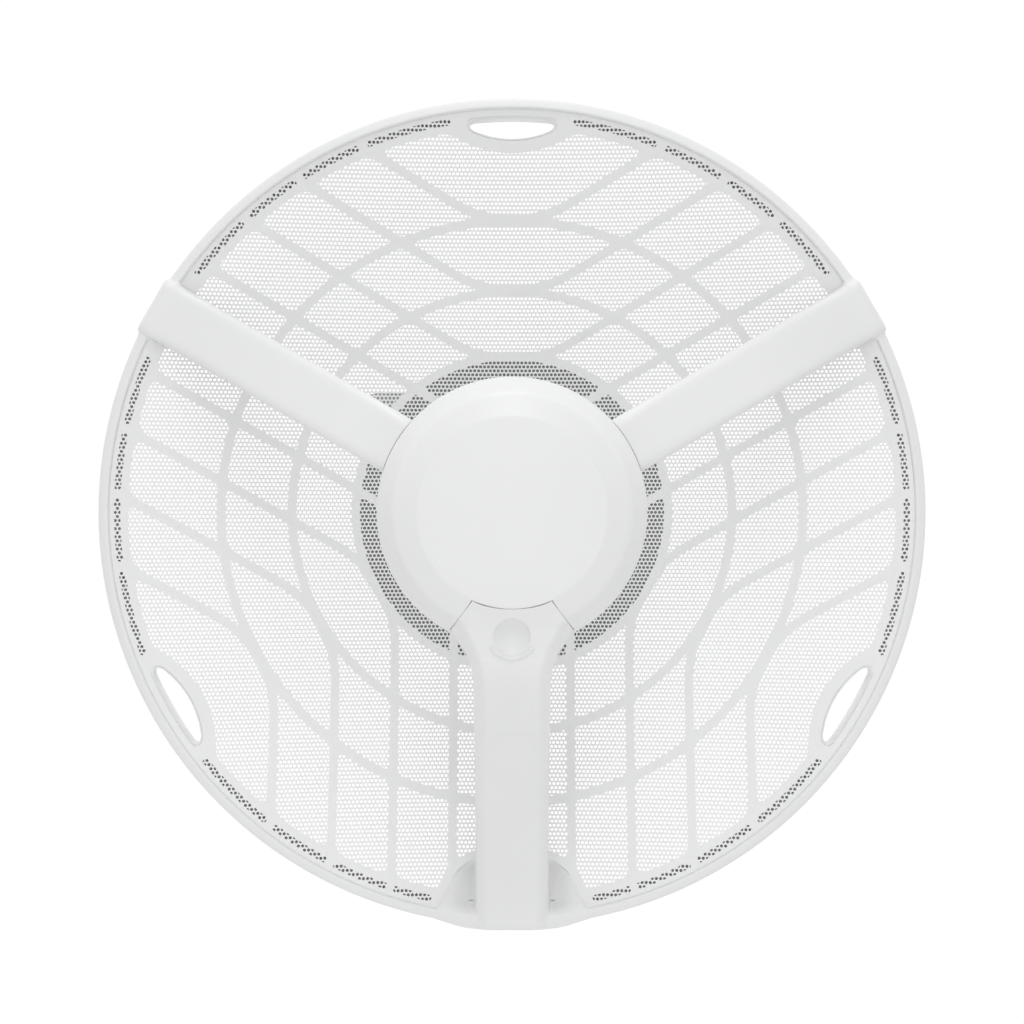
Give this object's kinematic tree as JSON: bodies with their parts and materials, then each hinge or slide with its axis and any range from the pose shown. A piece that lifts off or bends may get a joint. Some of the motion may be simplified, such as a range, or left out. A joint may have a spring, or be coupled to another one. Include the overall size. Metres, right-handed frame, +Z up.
{
  "type": "outdoor wireless bridge",
  "caption": "Outdoor point-to-point radio: a round perforated dish with a hub-mounted radio on three arms, and a tilting mast clamp behind.",
  "frame": {"origin": "on the mast's axis, level with the dish's centre", "axes": "+Z up along the mast, the dish looks along -Y, +X to the viewer's right when facing the dish"},
  "size_m": [0.413, 0.355, 0.4149],
  "materials": {
    "white_plastic": "fine satin",
    "painted_sheet": "satin powder coat",
    "cast_grey": "fine-textured powder coat",
    "steel": "zinc plated",
    "aluminium": "as extruded",
    "rubber": "matt",
    "circuit_board": "solder mask",
    "ceramic": "matt",
    "black_plastic": "satin"
  },
  "bodies": {
    "mast_clamp": {"clamp_front_jaw": "cast_grey", "clamp_bolt_left": "steel", "clamp_bolt_right": "steel", "azimuth_bolt": "steel", "azimuth_washer": "steel"},
    "rear_jaw": {"clamp_rear_jaw": "cast_grey", "clamp_washer_left": "steel", "clamp_washer_right": "steel"},
    "left_clamp_nut": {"clamp_nut_left": "steel"},
    "right_clamp_nut": {"clamp_nut_right": "steel"},
    "azimuth_lock_nut": {"azimuth_nut": "steel"},
    "swivel": {"swivel_block": "cast_grey", "elevation_bolt": "steel", "elevation_washer": "steel"},
    "elevation_lock_nut": {"elevation_nut": "steel"},
    "antenna": {"reflector": "painted_sheet", "front_frame": "white_plastic", "lower_arm_back_cover": "white_plastic", "hub_front_cover": "white_plastic", "hub_rear_radome": "white_plastic", "hub_gasket": "rubber", "radio_board": "circuit_board", "rf_module": "aluminium", "feed_horn": "aluminium", "heat_sink": "aluminium", "gps_patch": "ceramic", "ethernet_jack": "steel", "reset_switch": "steel", "cable_grommet": "rubber", "rear_plate": "cast_grey", "board_screw_1": "steel", "board_screw_2": "steel", "board_screw_3": "steel", "plate_screw_1": "steel", "plate_screw_2": "steel", "plate_screw_3": "steel", "plate_screw_4": "steel"},
    "cover": {"port_cover": "white_plastic", "port_seal": "rubber"},
    "button": {"reset_button": "black_plastic"}
  },
  "joints": [
    {"name": "azimuth", "type": "hinge", "parent": "mast_clamp", "child": "swivel", "pos_m": [0.0565, -0.056, 0], "axis": [0, 0, 1], "range_deg": [-15, 15]},
    {"name": "elevation", "type": "hinge", "parent": "swivel", "child": "antenna", "pos_m": [0.0565, -0.08, 0], "axis": [1, 0, 0], "range_deg": [-15, 15]},
    {"name": "jaw_slide", "type": "slide", "parent": "mast_clamp", "child": "rear_jaw", "axis": [0, 1, 0], "range_m": [0, 0.015]},
    {"name": "left_nut_spin", "type": "hinge", "parent": "rear_jaw", "child": "left_clamp_nut", "pos_m": [-0.0305, 0.026, 0.051], "axis": [0, 1, 0], "continuous": true},
    {"name": "right_nut_spin", "type": "hinge", "parent": "rear_jaw", "child": "right_clamp_nut", "pos_m": [0.0305, 0.026, 0.051], "axis": [0, 1, 0], "continuous": true},
    {"name": "azimuth_nut_spin", "type": "hinge", "parent": "mast_clamp", "child": "azimuth_lock_nut", "pos_m": [0.0565, -0.056, -0.025], "axis": [0, 0, 1], "continuous": true},
    {"name": "elevation_nut_spin", "type": "hinge", "parent": "swivel", "child": "elevation_lock_nut", "pos_m": [0.035, -0.08, 0], "axis": [1, 0, 0], "continuous": true},
    {"name": "port_cover_lift", "type": "slide", "parent": "antenna", "child": "cover", "axis": [0, -1, 0], "range_m": [0, 0.05]},
    {"name": "reset_press", "type": "slide", "parent": "antenna", "child": "button", "axis": [0, 1, 0], "range_m": [0, 0.0008], "stiffness_N_per_m": 900, "springref_m": -0.0006}
  ]
}
